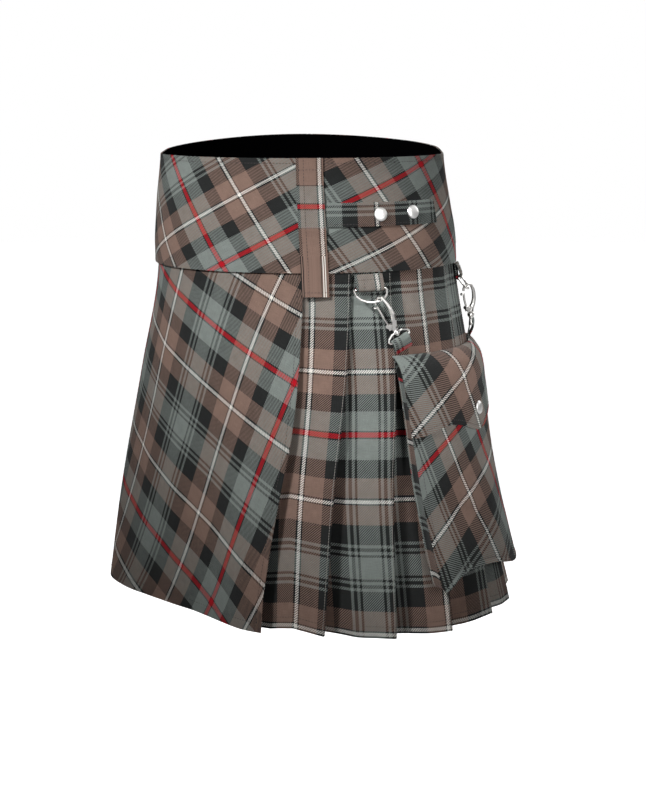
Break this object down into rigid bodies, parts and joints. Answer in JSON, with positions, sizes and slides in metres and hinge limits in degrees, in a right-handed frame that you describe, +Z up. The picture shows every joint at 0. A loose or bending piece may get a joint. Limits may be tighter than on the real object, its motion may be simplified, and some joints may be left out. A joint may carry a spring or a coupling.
{
  "type": "skirt",
  "caption": "Tartan wrap mini skirt with knife pleats, a flat front apron, a waist strap with snaps and a flap pocket hung from D-rings on swivel clips",
  "frame": {"origin": "middle of the waist opening, level with the front of the rim", "axes": "+Z up along the body, -Y is the front, +X is the wearer's left"},
  "size_m": [0.3999, 0.367, 0.4444],
  "materials": {
    "tartan_cloth": "brushed twill woven in a tartan of slate, black and brown with white and red lines, straight grain",
    "tartan_bias_cloth": "the same tartan twill cut on the bias",
    "black_lining": "plain matt facing inside the waist",
    "nickel_plate": "bright nickel plate, lightly rubbed"
  },
  "bodies": {
    "skirt": {"yoke_front_left": "tartan_bias_cloth", "yoke_front_right": "tartan_bias_cloth", "yoke_back": "tartan_bias_cloth", "yoke_lining": "black_lining", "apron": "tartan_bias_cloth", "under_apron": "tartan_cloth", "pleats_front": "tartan_cloth", "pleats_right": "tartan_cloth", "pleats_back": "tartan_cloth", "pleats_left": "tartan_cloth", "belt_loop": "tartan_cloth", "waist_strap": "tartan_cloth", "strap_snap_1": "nickel_plate", "strap_snap_2": "nickel_plate", "ring_tab_front": "tartan_cloth", "ring_tab_side": "tartan_cloth", "d_ring_front": "nickel_plate", "d_ring_side": "nickel_plate", "clip_loop_front": "nickel_plate", "clip_loop_side": "nickel_plate", "pocket_tab_front": "tartan_cloth", "pocket_tab_side": "tartan_cloth", "pocket_back": "tartan_bias_cloth", "pocket_front": "tartan_bias_cloth", "pocket_gusset": "tartan_bias_cloth", "pocket_flap": "tartan_bias_cloth", "pocket_snap": "nickel_plate"},
    "hook_front": {"clip_hook_front": "nickel_plate"},
    "gate_front": {"clip_gate_front": "nickel_plate"},
    "hook_side": {"clip_hook_side": "nickel_plate"},
    "gate_side": {"clip_gate_side": "nickel_plate"}
  },
  "joints": [
    {"name": "hook_front_swivel", "type": "hinge", "parent": "skirt", "child": "hook_front", "pos_m": [0.09045, -0.11781, -0.1583], "axis": [-0.4725, -0.0353, 0.8807], "range_deg": [-12, 12]},
    {"name": "gate_front_hinge", "type": "hinge", "parent": "hook_front", "child": "gate_front", "pos_m": [0.08022, -0.116, -0.14714], "axis": [0.4521, 0.848, 0.2765], "range_deg": [0, 20], "stiffness_Nm_per_rad": 0.006, "springref_deg": -34.38},
    {"name": "hook_side_swivel", "type": "hinge", "parent": "skirt", "child": "hook_side", "pos_m": [0.16438, -0.00767, -0.1583], "axis": [-0.1267, -0.1867, 0.9742], "range_deg": [-12, 12]},
    {"name": "gate_side_hinge", "type": "hinge", "parent": "hook_side", "child": "gate_side", "pos_m": [0.1588, -0.01254, -0.14497], "axis": [-0.5128, 0.853, 0.0968], "range_deg": [0, 20], "stiffness_Nm_per_rad": 0.006, "springref_deg": -34.38}
  ]
}
